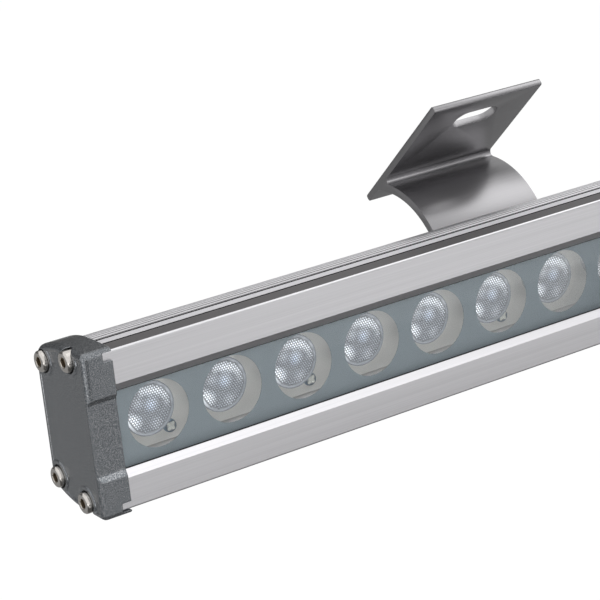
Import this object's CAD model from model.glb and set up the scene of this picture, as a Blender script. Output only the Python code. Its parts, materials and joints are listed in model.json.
import json
import math

import bmesh
import bpy
from bpy.props import FloatProperty, FloatVectorProperty, IntProperty, PointerProperty
from mathutils import Matrix, Vector
from mathutils.geometry import delaunay_2d_cdt


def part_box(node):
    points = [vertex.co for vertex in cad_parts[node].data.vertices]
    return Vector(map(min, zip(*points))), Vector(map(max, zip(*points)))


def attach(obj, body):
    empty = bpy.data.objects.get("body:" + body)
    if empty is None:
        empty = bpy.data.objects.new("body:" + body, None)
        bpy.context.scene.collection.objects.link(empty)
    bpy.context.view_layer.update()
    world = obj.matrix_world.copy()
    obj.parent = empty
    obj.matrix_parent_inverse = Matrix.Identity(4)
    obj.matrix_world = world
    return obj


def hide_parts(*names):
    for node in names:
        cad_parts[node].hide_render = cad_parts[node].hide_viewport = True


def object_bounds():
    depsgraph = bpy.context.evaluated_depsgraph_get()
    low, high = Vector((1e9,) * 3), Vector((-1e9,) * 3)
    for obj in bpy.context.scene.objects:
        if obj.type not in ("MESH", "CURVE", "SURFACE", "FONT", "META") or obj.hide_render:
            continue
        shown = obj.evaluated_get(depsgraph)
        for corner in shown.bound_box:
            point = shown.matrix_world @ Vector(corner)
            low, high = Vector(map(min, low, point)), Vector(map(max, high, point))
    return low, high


bl_info = {
    "name": "Wall Washer Light",
    "version": (1, 0, 0),
    "blender": (4, 5, 0),
    "location": "View3D > Sidebar > Wall Washer",
    "description": "Dresses the packed wall washer light and sets up its studio",
    "category": "Object",
}

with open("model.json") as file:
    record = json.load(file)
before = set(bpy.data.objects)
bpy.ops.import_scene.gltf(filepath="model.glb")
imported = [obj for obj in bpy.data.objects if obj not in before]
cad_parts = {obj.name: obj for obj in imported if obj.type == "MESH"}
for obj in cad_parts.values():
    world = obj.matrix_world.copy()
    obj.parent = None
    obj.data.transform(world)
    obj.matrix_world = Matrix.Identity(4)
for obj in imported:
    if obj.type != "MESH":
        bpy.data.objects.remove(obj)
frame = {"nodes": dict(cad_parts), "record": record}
CAD_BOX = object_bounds()
MM = 0.001
SIDES = {"left": -1, "right": 1}
BOARDS = sorted(n for n in frame["nodes"] if n.removeprefix("board_").isdigit())

# The bar's section, as the CAD has it
CROWN_DEPTH = 11.7 * MM  # from the front to where the ribbed crown starts
CROWN_RADIUS = 40 * MM
CROWN_END = 6 * MM  # the ribs end this far before the back and below the top
BAND = (0.7 * MM, 6.7 * MM)  # the smooth dark band on the flat top, from the front
CHANNEL_START = 2 * MM  # the narrow channels in the flat top lie behind this depth
CHANNEL_FLOOR = 0.5 * MM  # and end this far below the top

# A lens, in shares of its radius and height
LENS_FOOT = 0.503
LENS_WELL = 0.306
LENS_WELL_HEIGHT = 0.348
LENS_FLARE = ((0, 0), (0.12, 0.3), (0.3, 0.58), (0.5, 0.78), (0.72, 0.91), (0.89, 1))
LENS_RIM_ROUND = 0.25 * MM

# The screws
CAP_HEAD_HEIGHT = 4 * MM
CAP_SHANK_RADIUS = 2 * MM
CAP_SHANK_TIP = (1.6 * MM, 0.4 * MM)  # radius and length of the chamfer at the tip
CAP_SOCKET = (1.5 * MM, 1.3 * MM)  # half the width across flats, and depth
BOARD_SHANK_RADIUS = 1.25 * MM
HEAD_STEPS = 72
SHANK_STEPS = 32
STAR_STEPS = 64

WELD = 0.002 * MM  # points of a CAD mesh nearer than this are one point
PER_MICRON = 1e6  # corners of beads are told apart to a micron


def srgb(value):
    """One sRGB channel, from 0 to 255, as a linear value."""
    v = value / 255
    return v / 12.92 if v <= 0.04045 else ((v + 0.055) / 1.055) ** 2.4


def tone(red, green, blue):
    """An sRGB colour, each channel from 0 to 255, as a linear RGBA colour."""
    return (srgb(red), srgb(green), srgb(blue), 1.0)


def rgba(colour):
    """A colour of three linear channels with its alpha."""
    return (*colour, 1.0)


def scaled(colour, k):
    """The colour made lighter or darker, with white as its limit."""
    return tuple(min(c * k, 1.0) for c in colour[:3]) + (1.0,)


BLACK = (0, 0, 0, 1)
WHITE = (1, 1, 1, 1)


# Sizes and colours that a user would change


def colour_prop(name, description, rgb):
    return FloatVectorProperty(
        name=name, description=description, subtype="COLOR", size=3, min=0, max=1,
        default=tone(*rgb)[:3])


def length_prop(name, description, millimetres):
    return FloatProperty(
        name=name, description=description, subtype="DISTANCE", unit="LENGTH",
        default=millimetres * MM, min=0)


class WasherSizes(bpy.types.PropertyGroup):
    cap_softness: length_prop("Cap softness", "Grid step that rounds the cast caps", 0.2)
    bracket_edge: length_prop("Bracket edge", "Rounding of the brackets' cut edges", 0.3)
    gland_edge: length_prop("Gland edge", "Rounding of the gland's moulded edges", 0.3)
    bead_pitch: length_prop("Lens bead pitch", "Distance between the lens face's beads", 0.92)
    bead_height: length_prop("Lens bead height", "Height of one bead on a lens face", 0.2)
    bead_field: length_prop("Lens bead field", "Radius of the beaded part of a lens face", 8.3)
    lens_sides: IntProperty(
        name="Lens sides", description="Steps round a lens", default=96, min=24)


class WasherColours(bpy.types.PropertyGroup):
    bar: colour_prop("Bar", "Brushed aluminium of the bar", (232, 231, 234))
    bar_dark: colour_prop("Dark band", "Smooth band on top of the bar", (118, 116, 117))
    bracket: colour_prop("Bracket", "Brushed aluminium of the brackets", (152, 151, 153))
    cap: colour_prop("End cap", "Metallic coat of the caps", (104, 110, 116))
    cap_fleck: colour_prop("End cap fleck", "Flakes in the coat", (166, 167, 169))
    mask: colour_prop("Mask", "Print behind the glass", (138, 147, 153))
    board: colour_prop("Board", "White lacquer of the boards", (236, 234, 230))
    lens: colour_prop("Lens", "Clear moulding", (238, 241, 250))
    steel: colour_prop("Steel", "Polished screws", (212, 208, 203))
    socket: colour_prop("Socket", "Oily steel down in the sockets", (150, 134, 112))


class WasherStage(bpy.types.PropertyGroup):
    camera_place: FloatVectorProperty(
        name="Camera place", description="Where the camera stands", subtype="TRANSLATION",
        unit="LENGTH", default=(-0.54591, -0.60734, 0.24725))
    camera_turn: FloatProperty(
        name="Camera turn", description="Heading of the camera to the right of straight ahead",
        subtype="ANGLE", default=math.radians(32.337))
    camera_dip: FloatProperty(
        name="Camera dip", description="How far the camera looks down",
        subtype="ANGLE", default=math.radians(18.132))
    camera_roll: FloatProperty(
        name="Camera roll", description="Tilt of the camera about its own line of sight",
        subtype="ANGLE", default=math.radians(-5.997))
    camera_lens: FloatProperty(
        name="Camera lens", description="Focal length on a 36 mm frame, in millimetres",
        unit="CAMERA", default=135.13, min=1)
    floor_drop: FloatProperty(
        name="Floor drop", description="Floor below the lowest point of the light",
        subtype="DISTANCE", unit="LENGTH", default=0.22)
    fill: FloatProperty(
        name="Fill", description="Strength of the even light from all round", default=0.7, min=0)
    key: FloatProperty(
        name="Key", description="Power of the key lamp in watts", unit="POWER",
        default=30, min=0)


# Shader maths


class Wire:
    """A node's output that can be written in sums, products and comparisons."""

    def __init__(self, graph, socket):
        self.graph = graph
        self.socket = socket

    def __add__(self, other):
        return self.graph.maths("ADD", self, other)

    def __sub__(self, other):
        return self.graph.maths("SUBTRACT", self, other)

    def __rsub__(self, other):
        return self.graph.maths("SUBTRACT", other, self)

    def __mul__(self, other):
        return self.graph.maths("MULTIPLY", self, other)

    def __gt__(self, other):
        return self.graph.maths("GREATER_THAN", self, other)

    def __lt__(self, other):
        return self.graph.maths("LESS_THAN", self, other)

    __radd__ = __add__
    __rmul__ = __mul__


# The sockets for colours on a Mix node, which share their names with its other sockets
MIX_SHARE, MIX_FIRST, MIX_SECOND = 0, 6, 7


class Graph:
    """The nodes of one material or world."""

    def __init__(self, tree):
        self.tree = tree
        tree.nodes.clear()

    def add(self, kind, settings=None, inputs=None):
        """Adds a node: its settings first, then values or links for its sockets."""
        node = self.tree.nodes.new(kind)
        for key, value in (settings or {}).items():
            if key == "stops":
                self._stops(node.color_ramp, value)
            else:
                setattr(node, key, value)
        for key, value in (inputs or {}).items():
            if isinstance(value, Wire):
                self.tree.links.new(value.socket, node.inputs[key])
            else:
                node.inputs[key].default_value = value
        return {socket.identifier: Wire(self, socket) for socket in node.outputs}

    def _stops(self, ramp, stops):
        while len(ramp.elements) < len(stops):
            ramp.elements.new(1)
        for element, (place, level) in zip(ramp.elements, stops):
            element.position = place
            element.color = (level, level, level, 1)

    def maths(self, operation, *values):
        """The result of one operation on values."""
        return self.add(
            "ShaderNodeMath", {"operation": operation}, dict(enumerate(values)))["Value"]

    def vector_maths(self, operation, *values):
        """The results of one operation on vectors, its "Vector" and its "Value"."""
        return self.add(
            "ShaderNodeVectorMath", {"operation": operation}, dict(enumerate(values)))

    def place(self):
        """The point on the piece, in the light's own frame."""
        return self.add("ShaderNodeTexCoord")["Object"]

    def axes(self, point):
        """The point's three values."""
        parts = self.add("ShaderNodeSeparateXYZ", None, {0: point})
        return parts["X"], parts["Y"], parts["Z"]

    def point(self, across, up):
        """A point on a flat drawing."""
        return self.add("ShaderNodeCombineXYZ", None, {"X": across, "Y": up})["Vector"]

    def length(self, point):
        """How far the point is from the middle of its drawing."""
        return self.vector_maths("LENGTH", point)["Value"]

    def stretched(self, point, scale):
        """The point with each axis scaled, for grain that runs one way."""
        return self.vector_maths("MULTIPLY", point, scale)["Vector"]

    def noise(self, point, scale, detail=2.0, roughness=0.5):
        """Noise from 0 to 1 at that many cells a metre."""
        return self.add("ShaderNodeTexNoise", None, {
            "Vector": point, "Scale": scale, "Detail": detail, "Roughness": roughness})["Fac"]

    def mix(self, share, first, second):
        """One colour passing into another."""
        return self.add("ShaderNodeMix", {"data_type": "RGBA"}, {
            MIX_SHARE: share, MIX_FIRST: first, MIX_SECOND: second})["Result_Color"]

    def mix_shaders(self, share, first, second):
        """One shader passing into another."""
        return self.add("ShaderNodeMixShader", None, {0: share, 1: first, 2: second})["Shader"]

    def glowing(self, colour, strength=1.0):
        """A shader that only gives light."""
        return self.add(
            "ShaderNodeEmission", None, {"Color": colour, "Strength": strength})["Emission"]

    def clamped(self, value):
        """The value kept between 0 and 1."""
        return self.add("ShaderNodeClamp", None, {0: value})["Result"]

    def bump(self, height, strength, distance=0.05 * MM):
        """The surface's direction, tilted by the slope of a height."""
        return self.add("ShaderNodeBump", None, {
            "Strength": strength, "Distance": distance, "Height": height})["Normal"]

    def sees_white(self):
        """1 for the rays that the white surroundings are for: seen, mirrored or through glass."""
        ray = self.add("ShaderNodeLightPath")
        indirect = self.maths("MAXIMUM", ray["Is Glossy Ray"], ray["Is Transmission Ray"])
        return self.maths("MAXIMUM", ray["Is Camera Ray"], indirect)


def between(value, low, high):
    """1 where the value lies between the two, 0 elsewhere."""
    return (value > low) * (value < high)


def finish_material(name, build):
    """A material whose shader build(graph) returns."""
    material = bpy.data.materials.new(name)
    material.use_nodes = True
    graph = Graph(material.node_tree)
    graph.add("ShaderNodeOutputMaterial", None, {"Surface": build(graph)})
    return material


def surface(graph, **inputs):
    """The main shader, with its sockets named by words joined with underscores."""
    named = {key.replace("_", " "): value for key, value in inputs.items()}
    return graph.add("ShaderNodeBsdfPrincipled", None, named)["BSDF"]


# Materials


# Cells a metre along the bar, and across it in depth and height
FINE_STREAKS = (12, 2600, 2600)
BROAD_STREAKS = (3, 420, 420)


def streaks(graph, point):
    """Drawing lines along the bar: the fine ones, and fine and broad together, from 0 to 1."""
    fine = graph.noise(graph.stretched(point, FINE_STREAKS), 1.0, detail=3.0, roughness=0.6)
    broad = graph.noise(graph.stretched(point, BROAD_STREAKS), 1.0)
    return fine, fine * 0.6 + broad * 0.4


def brushed_bar(name, colour, dark):
    """Drawn aluminium, darker in its grooves and between its ribs, and on its smooth band."""
    low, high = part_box("housing")
    front, back, top = low.y, high.y, high.z
    crown = front + CROWN_DEPTH
    touch = 0.02 * MM  # what is nearer than this to the top lies on it
    crest, groove = 0.08 * MM, 0.24 * MM  # where the dark between two ribs starts, and its depth

    def build(graph):
        point = graph.place()
        _, y, z = graph.axes(point)
        tall = graph.maths("ABSOLUTE", z)
        fine, grain = streaks(graph, point)
        base = graph.mix(grain, scaled(colour, 0.8), scaled(colour, 1.16))
        band = (tall > top - touch) * between(y, front + BAND[0], front + BAND[1])
        base = graph.mix(band, base, dark)
        out = graph.length(graph.point(y - crown, tall - (top - CROWN_RADIUS)))
        sunk = (CROWN_RADIUS - out - crest) * (1 / groove)
        ribs = between(y, crown + 0.3 * MM, back - CROWN_END) * (tall > top - CROWN_END)
        base = graph.mix(graph.clamped(sunk) * ribs, base, scaled(colour, 0.14))
        ledge = (tall > top - touch) * between(y, front + BAND[1], crown)
        channel = between(tall, top - CHANNEL_FLOOR, top - 0.03 * MM) * between(
            y, front + CHANNEL_START, crown + 0.07 * MM)
        base = graph.mix(channel, base, tone(40, 39, 40))
        return surface(
            graph, Base_Color=base, Metallic=1.0,
            Roughness=fine * 0.12 + 0.27 + band * 0.25 + ledge * 0.3,
            Normal=graph.bump(fine, 0.07))

    return finish_material(name, build)


def drawn_aluminium(name, colour, roughness):
    """Aluminium with the drawing lines of its extrusion."""

    def build(graph):
        fine, grain = streaks(graph, graph.place())
        return surface(
            graph, Base_Color=graph.mix(grain, scaled(colour, 0.9), scaled(colour, 1.08)),
            Metallic=1.0, Roughness=fine * 0.08 + roughness, Normal=graph.bump(fine, 0.015))

    return finish_material(name, build)


def worn_edges(graph):
    """How far a point stands on an edge, and how far it lies in a corner, each from 0 to 1.
    The pointiness of a flat surface is 0.5."""
    point = graph.add("ShaderNodeNewGeometry")["Pointiness"]
    return graph.clamped((point - 0.55) * 14), graph.clamped((0.47 - point) * 20)


def metallic_coat(name, colour, fleck):
    """Dark stoved coat with fine bright flakes, rubbed on its edges and darker in its corners."""

    def build(graph):
        point = graph.place()
        grain = graph.noise(point, 2900, roughness=0.8)
        pits = graph.noise(point, 2600, detail=3.0, roughness=0.6)
        flakes = graph.add(
            "ShaderNodeValToRGB", {"stops": [(0.44, 0), (0.7, 1)]}, {0: grain})["Color"]
        base = graph.mix(flakes, scaled(colour, 0.68), fleck)
        edge, corner = worn_edges(graph)
        base = graph.mix(edge * 0.4, base, scaled(fleck, 1.1))
        base = graph.mix(corner * 0.85, base, scaled(colour, 0.2))
        return surface(
            graph, Base_Color=base, Metallic=0.8, Roughness=0.25, Coat_Weight=0.5,
            Coat_Roughness=0.12, Normal=graph.bump(pits, 0.08))

    return finish_material(name, build)


def polished_steel(name, colour, deep=None, wall=1.0, glow=0.0):
    """Turned steel. Points marked deep take the second colour, which wall scales on the
    sides of a recess, and they glow a little."""

    def build(graph):
        grain = graph.noise(graph.place(), 1500)
        base = graph.mix(grain, scaled(colour, 0.85), scaled(colour, 1.12))
        inputs = {"Base_Color": base, "Metallic": 1.0, "Roughness": grain * 0.1 + 0.13}
        if deep:
            mark = graph.add("ShaderNodeAttribute", {"attribute_name": "deep"})["Fac"]
            facing, _, _ = graph.axes(graph.add("ShaderNodeNewGeometry")["Normal"])
            bottom = graph.clamped(facing * facing * 3 - 1.5)
            sunk = graph.mix(bottom, scaled(deep, wall), deep)
            inputs.update(
                Base_Color=graph.mix(mark, base, sunk), Metallic=1 - mark * 0.6,
                Emission_Color=graph.mix(mark, BLACK, sunk), Emission_Strength=glow)
        return surface(graph, **inputs)

    return finish_material(name, build)


def clear_glass(name):
    """Thin clear glass: it lets light through and mirrors at a glance."""

    def build(graph):
        through = graph.add(
            "ShaderNodeBsdfTransparent", None, {"Color": (0.96, 0.97, 0.97, 1)})["BSDF"]
        gloss = graph.add("ShaderNodeBsdfGlossy", None, {"Roughness": 0.03})["BSDF"]
        glance = graph.add("ShaderNodeFresnel", None, {"IOR": 1.45})["Fac"]
        return graph.mix_shaders(glance * 0.8, through, gloss)

    return finish_material(name, build)


# Where the cone behind a lens face throws light back: place, reach and level, with the
# first two in radii of the face
GLINTS = (
    ((-0.8, -0.2), 0.3, 0.9), ((-0.62, -0.36), 0.34, 1.1), ((-0.2, 0.68), 0.24, 0.8),
    ((0.1, 0.64), 0.26, 1.1), ((0.4, 0.56), 0.26, 1.1), ((0.64, 0.36), 0.24, 0.8),
    ((0.74, 0.08), 0.22, 0.4), ((0.1, 0.14), 0.34, 0.7), ((-0.4, 0.3), 0.3, 0.35),
    ((0.2, -0.6), 0.3, 0.3))


def lens_moulding(name, colour, pitch, axis_height, face_y, bead_height, radius):
    """The lenses' moulding: a beaded face that glints where the cone behind it throws light
    back. Lenses repeat at the pitch, and face_y is the front of their beads."""

    def build(graph):
        x, y, z = graph.axes(graph.place())
        turns = graph.maths("FRACT", x * (1 / pitch))
        spot = graph.point(
            (turns - 0.5) * (pitch / radius), (z - axis_height) * (1 / radius))
        lobes = []
        for (u, v), reach, level in GLINTS:
            away = graph.vector_maths("DISTANCE", spot, (u, v, 0))["Value"]
            lobes.append(graph.clamped(1 - away * (1 / reach)) * level)
        glow = graph.clamped(sum(lobes))
        depth = (y - face_y) * (1 / bead_height)
        on_face = depth < 1.2
        valley = graph.clamped(depth * 1.8 - 0.5) * on_face
        tint = graph.mix(glow, scaled(colour, 0.86), scaled(colour, 1.1))
        tint = graph.mix(on_face, scaled(colour, 0.85), tint)
        tint = graph.mix(valley * 0.7, tint, scaled(colour, 0.26))
        cool = graph.mix(
            graph.clamped(graph.length(spot) * 1.6), tone(196, 216, 255), colour)
        shine = graph.mix(glow * on_face * (1 - valley * 0.95), BLACK, cool)
        return surface(
            graph, Base_Color=tint, Metallic=on_face * 0.55, Roughness=0.2 + on_face * 0.06,
            Emission_Color=shine, Emission_Strength=1.3)

    return finish_material(name, build)


def grained(name, colour, roughness, cells, depth, spread=0.08, **extra):
    """A plain moulded, printed or lacquered surface with a fine uneven grain, so many cells
    a metre and so many millimetres deep, whose colour spreads by a share."""

    def build(graph):
        grain = graph.noise(graph.place(), cells, detail=3.0, roughness=0.6)
        return surface(
            graph, Roughness=grain * 0.1 + roughness,
            Base_Color=graph.mix(grain, scaled(colour, 1 - spread), scaled(colour, 1 + spread)),
            Normal=graph.bump(grain, 0.2, depth * MM), **extra)

    return finish_material(name, build)


def dress(node, material):
    """Gives a CAD node or a piece its material."""
    node.data.materials.clear()
    node.data.materials.append(material)


# Mesh tools


def record_of(node):
    """The body and the material slot that the record gives a CAD node."""
    record = frame["record"]
    body = next(b for b, names in record["behaviour"]["bodies"].items() if node in names)
    slot = next(s["material_slot"] for s in record["subparts"] if s["node"] == node)
    return body, slot


def stand_in(node, name, mesh, material, smooth_angle=None):
    """Puts a finer mesh in the place of a CAD node. Edges sharper than smooth_angle, in
    degrees, stay sharp."""
    if smooth_angle:
        mesh.shade_smooth()
        mesh.set_sharp_from_angle(angle=math.radians(smooth_angle))
    piece = bpy.data.objects.new(name, mesh)
    bpy.context.scene.collection.objects.link(piece)
    dress(piece, material)
    body, slot = record_of(node)
    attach(piece, body)
    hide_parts(node)


def cleaned_copy(node):
    """A copy of a CAD node's mesh with its flat faces whole again, ready to be rounded."""
    mesh = frame["nodes"][node].data.copy()
    bm = bmesh.new()
    bm.from_mesh(mesh)
    bmesh.ops.remove_doubles(bm, verts=bm.verts, dist=WELD)
    bmesh.ops.dissolve_limit(
        bm, angle_limit=math.radians(0.5), verts=bm.verts, edges=bm.edges,
        use_dissolve_boundaries=False)
    bm.to_mesh(mesh)
    bm.free()
    if "custom_normal" in mesh.attributes:
        mesh.attributes.remove(mesh.attributes["custom_normal"])
    return mesh


def with_modifiers(mesh, *stack):
    """The mesh after these modifiers, each a type and its settings."""
    holder = bpy.data.objects.new("working", mesh)
    bpy.context.scene.collection.objects.link(holder)
    for kind, values in stack:
        modifier = holder.modifiers.new(kind.lower(), kind)
        for key, value in values.items():
            setattr(modifier, key, value)
    depsgraph = bpy.context.evaluated_depsgraph_get()
    done = bpy.data.meshes.new_from_object(holder.evaluated_get(depsgraph))
    bpy.data.objects.remove(holder)
    return done


def rounded_node(node, name, width, material, smooth_angle):
    """A CAD node seen with rounded edges."""
    mesh = with_modifiers(cleaned_copy(node), ("BEVEL", {
        "width": width, "segments": 3, "limit_method": "ANGLE",
        "angle_limit": math.radians(smooth_angle), "harden_normals": False}))
    stand_in(node, name, mesh, material, smooth_angle)


def skin(loops):
    """Vertices and faces of a skin over loops of equal length, closed at both ends."""
    count = len(loops[0])
    verts = [p for loop in loops for p in loop]
    faces = []
    for i in range(len(loops) - 1):
        for j in range(count):
            k = (j + 1) % count
            faces.append((i * count + j, i * count + k, (i + 1) * count + k, (i + 1) * count + j))
    faces.append(tuple(reversed(range(count))))
    faces.append(tuple(range((len(loops) - 1) * count, len(loops) * count)))
    return verts, faces


def joined_mesh(name, verts, faces, places, deep=()):
    """One mesh of a copy of the shape at each place, a 4 by 4 matrix. The points of the
    shape whose numbers are in deep are marked."""
    all_verts, all_faces = [], []
    for place in places:
        start = len(all_verts)
        all_verts += [place @ Vector(v) for v in verts]
        all_faces += [tuple(start + i for i in f) for f in faces]
    mesh = bpy.data.meshes.new(name)
    mesh.from_pydata(all_verts, [], all_faces)
    if deep:
        mark = mesh.attributes.new("deep", "FLOAT", "POINT")
        for i, entry in enumerate(mark.data):
            entry.value = float(i % len(verts) in deep)
    mesh.update()
    return mesh


def round_points(radii, height):
    """A loop of points at equal turns, each at its own distance from the middle."""
    points = []
    for i, radius in enumerate(radii):
        turn = 2 * math.pi * i / len(radii)
        points.append((radius * math.cos(turn), radius * math.sin(turn), height))
    return points


def circle_loop(radius, height, count):
    return round_points([radius] * count, height)


def hexagon_loop(apothem, height, count):
    """A hexagon with the same number of points as a circle."""
    sixth = math.pi / 3
    turns = (2 * math.pi * i / count for i in range(count))
    offs = ((turn + sixth / 2) % sixth - sixth / 2 for turn in turns)
    return round_points([apothem / math.cos(off) for off in offs], height)


def facing_front(x, y, z):
    """A place whose own Z points out of the front."""
    return Matrix.Translation((x, y, z)) @ Matrix.Rotation(math.radians(90), 4, "X")


def facing_end(side, x, y, z):
    """A place whose own Z points out of that end of the bar."""
    return Matrix.Translation((x, y, z)) @ Matrix.Rotation(side * math.radians(90), 4, "Y")


def islands(node):
    """The corners of each loose solid in a CAD node, as (lowest, highest)."""
    bm = bmesh.new()
    bm.from_mesh(frame["nodes"][node].data)
    bmesh.ops.remove_doubles(bm, verts=bm.verts, dist=WELD)
    bm.verts.index_update()
    seen, found = set(), []
    for start in bm.verts:
        if start.index in seen:
            continue
        stack, group = [start], []
        seen.add(start.index)
        while stack:
            vert = stack.pop()
            group.append(vert.co.copy())
            for edge in vert.link_edges:
                other = edge.other_vert(vert)
                if other.index not in seen:
                    seen.add(other.index)
                    stack.append(other)
        low = Vector(min(c[i] for c in group) for i in range(3))
        high = Vector(max(c[i] for c in group) for i in range(3))
        found.append((low, high))
    bm.free()
    return sorted(found, key=lambda b: (round(b[0].x, 6), b[0].z))


# Shapes


def bead_points(pitch, field):
    """The middles of the beads, set out as a honeycomb, and the corners between them."""
    to_corner = pitch / math.sqrt(3)
    row = pitch * math.sqrt(3) / 2
    reach = int(field / pitch) + 2
    tops, corners = [], {}
    for j in range(-reach, reach + 1):
        for i in range(-reach, reach + 1):
            x, y = (i + 0.5 * (j % 2)) * pitch, j * row
            if math.hypot(x, y) > field - pitch * 0.75:
                continue
            tops.append((x, y))
            for k in range(6):
                turn = math.radians(30 + 60 * k)
                corner = (x + to_corner * math.cos(turn), y + to_corner * math.sin(turn))
                corners[tuple(round(c * PER_MICRON) for c in corner)] = corner
    return tops, list(corners.values())


def lens_shape(radius, height, sizes):
    """One lens from its foot up: well, flared side, smooth rim and a face of small beads."""
    sides = sizes.lens_sides
    foot, well = radius * LENS_FOOT, radius * LENS_WELL
    outline = [(well, height * LENS_WELL_HEIGHT), (well, 0)]
    outline += [(foot + (radius - foot) * wide, height * tall) for tall, wide in LENS_FLARE]
    outline += [(radius, height - LENS_RIM_ROUND), (radius - LENS_RIM_ROUND, height),
                (sizes.bead_field, height)]
    verts, faces = skin([circle_loop(r, z, sides) for r, z in outline])
    faces.pop()
    rim_start = len(verts) - sides
    rim = [v[:2] for v in verts[rim_start:]]
    tops, corners = bead_points(sizes.bead_pitch, sizes.bead_field)
    flat = [Vector(p) for p in rim + tops + corners]
    edges = [(i, (i + 1) % sides) for i in range(sides)]
    points, _, triangles, origins, _, _ = delaunay_2d_cdt(flat, edges, [], 0, 1e-9)
    index = {}
    for i, point in enumerate(points):
        source = origins[i][0]
        if source < sides:
            index[i] = rim_start + source
        else:
            lift = sizes.bead_height if source < sides + len(tops) else 0
            index[i] = len(verts)
            verts.append((point.x, point.y, height - sizes.bead_height * 0.5 + lift))
    faces += [tuple(index[i] for i in t) for t in triangles]
    return verts, faces


def socket_screw(radius, height, seat):
    """A socket head from its seat up, with rolled edges and a six-sided socket: its skin,
    and the numbers of its deep points."""
    flat, depth = CAP_SOCKET
    loops = [circle_loop(r, z, HEAD_STEPS) for r, z in (
        (seat, 0), (radius - 0.15 * MM, 0), (radius, 0.15 * MM),
        (radius, height - 0.75 * MM), (radius - 0.08 * MM, height - 0.5 * MM),
        (radius - 0.28 * MM, height - 0.22 * MM), (radius - 0.6 * MM, height - 0.04 * MM),
        (radius - 0.8 * MM, height), (flat * 1.28, height), (flat * 1.2, height - 0.05 * MM))]
    outside = len(loops) * HEAD_STEPS
    loops += [hexagon_loop(flat, height - 0.2 * MM, HEAD_STEPS),
              hexagon_loop(flat, height - depth, HEAD_STEPS),
              circle_loop(flat * 0.4, height - depth - 0.35 * MM, HEAD_STEPS)]
    return skin(loops), set(range(outside, len(loops) * HEAD_STEPS))


def star_screw(radius, height, foot, length):
    """A low pan head on its shank, with a four-pointed recess: its skin, and the numbers of
    its deep points."""
    loops = [circle_loop(r, z, STAR_STEPS) for r, z in (
        (foot - 0.3 * MM, -length), (foot, 0.3 * MM - length), (foot, 0),
        (radius - 0.05 * MM, 0), (radius, 0.1 * MM), (radius, height * 0.45),
        (radius * 0.93, height * 0.75), (radius * 0.88, height * 0.95),
        (radius * 0.82, height))]
    outside = len(loops) * STAR_STEPS
    arms = [0.42 + 0.36 * abs(math.sin(4 * math.pi * i / STAR_STEPS)) ** 3
            for i in range(STAR_STEPS)]
    for share, z in ((1.0, height * 0.98), (0.9, height * 0.7), (0.5, height * 0.45)):
        loops.append(round_points([radius * share * arm for arm in arms], z))
    return skin(loops), set(range(outside, len(loops) * STAR_STEPS))


# Operators: one for each piece or group of like pieces


def washer_settings():
    """The user's sizes, colours and stage."""
    scene = bpy.context.scene
    return scene.washer_sizes, scene.washer_colours, scene.washer_stage


class WASHER_OT_bar(bpy.types.Operator):
    """Brushes the extruded bar"""
    bl_idname = "washer.bar"
    bl_label = "Bar"

    def execute(self, context):
        _, colours, _ = washer_settings()
        dress(frame["nodes"]["housing"], brushed_bar(
            "brushed_bar", rgba(colours.bar), rgba(colours.bar_dark)))
        return {"FINISHED"}


class WASHER_OT_window(bpy.types.Operator):
    """Gives the glass, the mask and the seals their finish"""
    bl_idname = "washer.window"
    bl_label = "Window"

    def execute(self, context):
        _, colours, _ = washer_settings()
        nodes = frame["nodes"]
        dress(nodes["glass"], clear_glass("front_glass"))
        dress(nodes["glass_mask"], grained(
            "mask_print", scaled(colours.mask, 0.62), roughness=0.5, cells=900, depth=0.01,
            spread=0.02, Emission_Color=rgba(colours.mask), Emission_Strength=0.27))
        rubber = grained("black_rubber", tone(22, 22, 23), roughness=0.6, cells=1800, depth=0.03)
        for name, node in nodes.items():
            if record_of(name)[1] == "seal":
                dress(node, rubber)
        return {"FINISHED"}


class WASHER_OT_boards(bpy.types.Operator):
    """Finishes the light boards and what stands on them"""
    bl_idname = "washer.boards"
    bl_label = "Boards"

    def execute(self, context):
        _, colours, _ = washer_settings()
        finishes = {
            "board": grained(
                "white_lacquer", rgba(colours.board), roughness=0.06, cells=700, depth=0.004,
                spread=0.02, Metallic=0.3, Emission_Color=rgba(colours.board),
                Emission_Strength=0.17),
            "thermal_pad": grained(
                "grey_silicone", tone(150, 154, 160), roughness=0.7, cells=900, depth=0.03),
            "led": grained(
                "phosphor", tone(236, 214, 130), roughness=0.25, cells=500, depth=0.01,
                spread=0.05),
            "driver": grained(
                "black_epoxy", tone(28, 28, 30), roughness=0.4, cells=1500, depth=0.02),
            "wire": grained(
                "red_insulation", tone(150, 24, 20), roughness=0.35, cells=600, depth=0.01),
            "terminal": grained(
                "green_moulding", tone(52, 130, 66), roughness=0.35, cells=600, depth=0.01),
            "screw": polished_steel("polished_screws", rgba(colours.steel)),
        }
        for name, node in frame["nodes"].items():
            slot = record_of(name)[1]
            if slot in finishes:
                dress(node, finishes[slot])
        steel = polished_steel(
            "board_screw_steel", tone(150, 172, 190), tone(255, 255, 250), glow=0.08)
        for board in BOARDS:
            self.screws(board + "_screws", steel)
        return {"FINISHED"}

    def screws(self, node, steel):
        boxes = islands(node)
        low, high = boxes[0]
        radius, seat = (high.x - low.x) / 2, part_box("board_1")[0].y
        shape, deep = star_screw(radius, seat - low.y, BOARD_SHANK_RADIUS, high.y - seat)
        places = [facing_front((a.x + b.x) / 2, seat, (a.z + b.z) / 2) for a, b in boxes]
        mesh = joined_mesh(node + "_turned", *shape, places, deep)
        stand_in(node, node + "_turned", mesh, steel, smooth_angle=35)


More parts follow.
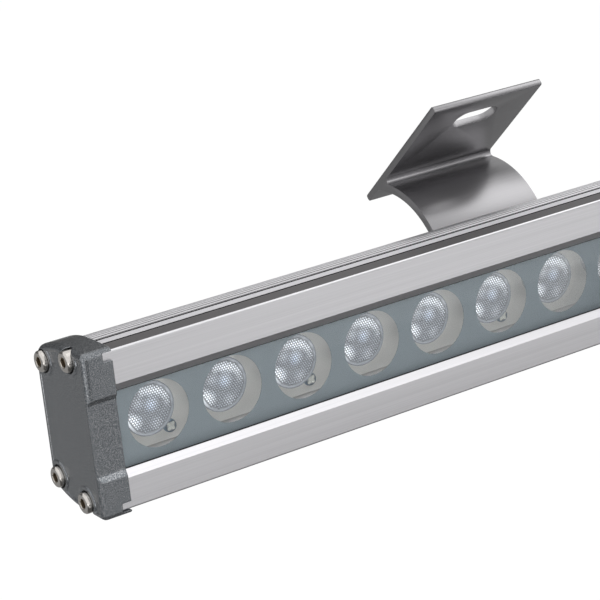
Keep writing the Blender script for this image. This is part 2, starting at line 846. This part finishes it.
class WASHER_OT_lenses(bpy.types.Operator):
    """Moulds the lenses with their beaded faces"""
    bl_idname = "washer.lenses"
    bl_label = "Lenses"

    def execute(self, context):
        sizes, colours, _ = washer_settings()
        material = None
        for board in BOARDS:
            node = board + "_lenses"
            boxes = islands(node)
            low, high = boxes[0]
            radius = (high.x - low.x) / 2
            material = material or lens_moulding(
                "clear_lens", rgba(colours.lens), pitch=boxes[1][0].x - low.x,
                axis_height=(low.z + high.z) / 2, face_y=low.y - sizes.bead_height / 2,
                bead_height=sizes.bead_height, radius=radius)
            shape = lens_shape(radius, high.y - low.y, sizes)
            places = [facing_front((a.x + b.x) / 2, b.y, (a.z + b.z) / 2) for a, b in boxes]
            mesh = joined_mesh(node + "_moulded", *shape, places)
            stand_in(node, node + "_moulded", mesh, material, smooth_angle=12)
        return {"FINISHED"}


class WASHER_OT_caps(bpy.types.Operator):
    """Casts the end caps and turns their screws"""
    bl_idname = "washer.caps"
    bl_label = "End caps"

    def execute(self, context):
        sizes, colours, _ = washer_settings()
        coat = metallic_coat("dark_coat", rgba(colours.cap), rgba(colours.cap_fleck))
        steel = polished_steel(
            "polished_heads", rgba(colours.steel), rgba(colours.socket), wall=0.22)
        for side, sign in SIDES.items():
            node = side + "_end_cap"
            mesh = with_modifiers(
                cleaned_copy(node),
                ("REMESH", {"mode": "VOXEL", "voxel_size": sizes.cap_softness,
                            "use_smooth_shade": True}),
                ("SMOOTH", {"factor": 0.5, "iterations": 2}))
            stand_in(node, side + "_cap_casting", mesh, coat)
            self.screws(side + "_cap_screws", sign, steel)
        return {"FINISHED"}

    def screws(self, node, sign, steel):
        boxes = islands(node)
        low, high = boxes[0]
        (head_verts, head_faces), deep = socket_screw(
            (high.z - low.z) / 2, CAP_HEAD_HEIGHT, CAP_SHANK_RADIUS)
        end = CAP_HEAD_HEIGHT - (high.x - low.x)
        tip_radius, tip_length = CAP_SHANK_TIP
        rod_verts, rod_faces = skin([circle_loop(r, z, SHANK_STEPS) for r, z in (
            (tip_radius, end), (CAP_SHANK_RADIUS, end + tip_length),
            (CAP_SHANK_RADIUS, 0.1 * MM))])
        start = len(head_verts)
        faces = head_faces + [tuple(start + i for i in f) for f in rod_faces]
        places = []
        for a, b in boxes:
            outer = b.x if sign > 0 else a.x
            places.append(facing_end(
                sign, outer - sign * CAP_HEAD_HEIGHT, (a.y + b.y) / 2, (a.z + b.z) / 2))
        mesh = joined_mesh(node + "_turned", head_verts + rod_verts, faces, places, deep)
        stand_in(node, node + "_turned", mesh, steel, smooth_angle=40)


class WASHER_OT_brackets(bpy.types.Operator):
    """Brushes the brackets, rounds their cut edges and finishes the stops"""
    bl_idname = "washer.brackets"
    bl_label = "Brackets"

    def execute(self, context):
        sizes, colours, _ = washer_settings()
        metal = drawn_aluminium("brushed_bracket", rgba(colours.bracket), roughness=0.26)
        steel = polished_steel("plain_grubs", tone(96, 96, 98))
        for side in SIDES:
            rounded_node(
                side + "_bracket", side + "_bracket_bent", sizes.bracket_edge, metal,
                smooth_angle=32)
            dress(frame["nodes"][side + "_groove_stops"], metal)
            dress(frame["nodes"][side + "_bracket_screws"], steel)
            dress(frame["nodes"][side + "_stop_screws"], steel)
        return {"FINISHED"}


class WASHER_OT_gland(bpy.types.Operator):
    """Moulds the cable gland"""
    bl_idname = "washer.gland"
    bl_label = "Cable gland"

    def execute(self, context):
        sizes, _, _ = washer_settings()
        nylon = grained("black_nylon", tone(44, 45, 47), roughness=0.42, cells=1600, depth=0.03)
        for node in ("gland_body", "gland_dome_nut"):
            rounded_node(node, node + "_moulded", sizes.gland_edge, nylon, smooth_angle=25)
        dress(frame["nodes"]["gland_locknut"], nylon)
        return {"FINISHED"}


# The stage

FILM_WIDTH = 36  # millimetres
NEAR_CLIP = 0.02
FLOOR_HALF = 4.0
FLOOR_TONE = (0.8, 0.8, 0.8, 1)
FLOOR_GLOW = 1.08  # strength of the white that is seen on the floor
FLOOR_GLOW_SHARE = 0.85  # the rest is lit, and holds the shadow
LAMP_TARGET = Vector((-0.12, -0.02, 0.0))
# Name, place, size and share of the key lamp's power
LAMPS = (("key_lamp", (-0.6, -2.0, 0.9), 1.6, 1.0), ("side_lamp", (-1.8, -0.3, 0.7), 0.8, 0.3))


def reflection_cards(ground):
    """The cards that the metal mirrors: name, level, and x, y and z. A level card has one z,
    an upright one has one y, and the rest are ranges."""
    return (
        ("dark_card", 0.1, (-0.6, 0.6), (-0.22, 0.02), ground + 0.08),
        ("front_card", 0.62, (-1.8, 2.2), (-2.2, -0.22), ground + 0.04),
        ("back_card", 0.34, (-2.2, 2.2), (-0.22, 2.0), ground + 0.04),
        ("sky_card", 0.6, (0.84, 2.6), 2.0, (ground, 1.5)),
        ("cap_sky_card", 0.12, (-2.2, 0.84), 2.0, (ground, 1.5)),
        ("top_card", 1.3, (-0.6, 0.85), (-0.8, 0.25), 1.6),
        ("bracket_card", 2.3, (0.85, 2.6), (-0.8, 0.25), 1.6),
        ("bracket_shade_card", 0.08, (0.7, 2.0), (0.75, 1.6), 1.61),
        ("plate_shade_card", 0.08, (1.2, 2.4), -2.31, (-0.2, 0.7)),
        ("far_front_card", 0.86, (0.125, 1.6), (-2.0, -0.52), ground + 0.045),
        ("near_front_card", 0.47, (0.0, 1.2), (-0.52, -0.3), ground + 0.045),
        ("soft_box_card", 2.35, (0.5, 1.15), -2.3, (0.75, 1.5)),
        ("line_card", 1.0, (1.3, 2.6), -2.3, (0.9, 1.9)),
        ("corner_card", 2.2, (-1.4, -0.66), (-0.7, -0.1), ground + 0.1),
        ("lens_side_card", 0.06, (-0.6, -0.1), (-1.0, -0.48), ground + 0.1),
    )


def four_corners(name, corners):
    """An object of one flat face over two pairs of corners."""
    mesh = bpy.data.meshes.new(name)
    mesh.from_pydata(corners, [], [(0, 1, 3, 2)])
    sheet = bpy.data.objects.new(name, mesh)
    bpy.context.scene.collection.objects.link(sheet)
    return sheet


class WASHER_OT_stage(bpy.types.Operator):
    """Sets the camera, the lamps, the floor and the white surroundings"""
    bl_idname = "washer.stage"
    bl_label = "Stage"

    def execute(self, context):
        _, _, stage = washer_settings()
        ground = CAD_BOX[0][2] - stage.floor_drop
        self.camera(stage)
        self.floor(ground)
        self.surroundings(stage.fill)
        for name, place, size, share in LAMPS:
            self.lamp(name, place, size, stage.key * share)
        for card in reflection_cards(ground):
            self.card(*card)
        context.scene.view_settings.view_transform = "Standard"
        return {"FINISHED"}

    def camera(self, stage):
        turn, dip, roll = stage.camera_turn, stage.camera_dip, stage.camera_roll
        ahead = Vector((
            math.sin(turn) * math.cos(dip), math.cos(turn) * math.cos(dip), -math.sin(dip)))
        level = ahead.cross(Vector((0, 0, 1))).normalized()
        upright = level.cross(ahead)
        right = level * math.cos(roll) + upright * math.sin(roll)
        up = right.cross(ahead)
        camera = bpy.data.objects.new("camera", bpy.data.cameras.new("camera"))
        camera.data.lens = stage.camera_lens
        camera.data.sensor_width = FILM_WIDTH
        camera.data.clip_start = NEAR_CLIP
        turned = Matrix((right, up, -ahead)).transposed().to_4x4()
        camera.matrix_world = Matrix.Translation(stage.camera_place) @ turned
        bpy.context.scene.collection.objects.link(camera)
        bpy.context.scene.camera = camera

    def floor(self, ground):
        ends = (-FLOOR_HALF, FLOOR_HALF)
        floor = four_corners("floor", [(x, y, ground) for y in ends for x in ends])

        def build(graph):
            matt = graph.add("ShaderNodeBsdfDiffuse", None, {"Color": FLOOR_TONE})["BSDF"]
            white = graph.glowing(WHITE, FLOOR_GLOW)
            return graph.mix_shaders(graph.sees_white() * FLOOR_GLOW_SHARE, matt, white)

        dress(floor, finish_material("pale_floor", build))

    def card(self, name, level, across, depth, height):
        """A card that only shows in reflections."""
        if isinstance(height, tuple):
            corners = [(x, depth, z) for z in height for x in across]
        else:
            corners = [(x, y, height) for y in depth for x in across]
        card = four_corners(name, corners)
        card.visible_camera = card.visible_diffuse = card.visible_shadow = False
        card.visible_transmission = False

        def build(graph):
            return graph.glowing((level, level, level, 1))

        dress(card, finish_material(name, build))

    def surroundings(self, fill):
        world = bpy.data.worlds.new("surroundings")
        world.use_nodes = True
        graph = Graph(world.node_tree)
        strength = graph.sees_white() * (1 - fill) + fill
        light = graph.add(
            "ShaderNodeBackground", None, {"Color": WHITE, "Strength": strength})["Background"]
        graph.add("ShaderNodeOutputWorld", None, {"Surface": light})
        bpy.context.scene.world = world

    def lamp(self, name, place, size, power):
        light = bpy.data.lights.new(name, "AREA")
        light.size = size
        light.energy = power
        lamp = bpy.data.objects.new(name, light)
        lamp.location = place
        lamp.visible_glossy = False
        lamp.rotation_euler = (LAMP_TARGET - Vector(place)).to_track_quat("-Z", "Y").to_euler()
        bpy.context.scene.collection.objects.link(lamp)


# The add-on

OPERATORS = (
    WASHER_OT_bar, WASHER_OT_window, WASHER_OT_boards, WASHER_OT_lenses, WASHER_OT_caps,
    WASHER_OT_brackets, WASHER_OT_gland, WASHER_OT_stage)
GROUPS = {
    "washer_sizes": WasherSizes, "washer_colours": WasherColours, "washer_stage": WasherStage}


class WASHER_PT_panel(bpy.types.Panel):
    """The sizes, colours and stage, and the operators in the order in which they run"""
    bl_idname = "WASHER_PT_panel"
    bl_label = "Wall Washer Light"
    bl_space_type = "VIEW_3D"
    bl_region_type = "UI"
    bl_category = "Wall Washer"

    def draw(self, context):
        for name, group in GROUPS.items():
            for prop in group.__annotations__:
                self.layout.prop(getattr(context.scene, name), prop)
        for operator in OPERATORS:
            self.layout.operator(operator.bl_idname)


CLASSES = (*GROUPS.values(), *OPERATORS, WASHER_PT_panel)


def register():
    for cls in CLASSES:
        bpy.utils.register_class(cls)
    for name, group in GROUPS.items():
        setattr(bpy.types.Scene, name, PointerProperty(type=group))


def unregister():
    for name in GROUPS:
        delattr(bpy.types.Scene, name)
    for cls in reversed(CLASSES):
        bpy.utils.unregister_class(cls)


def main():
    register()
    for operator in OPERATORS:
        group, name = operator.bl_idname.split(".")
        getattr(getattr(bpy.ops, group), name)()


if __name__ == "__main__":
    main()
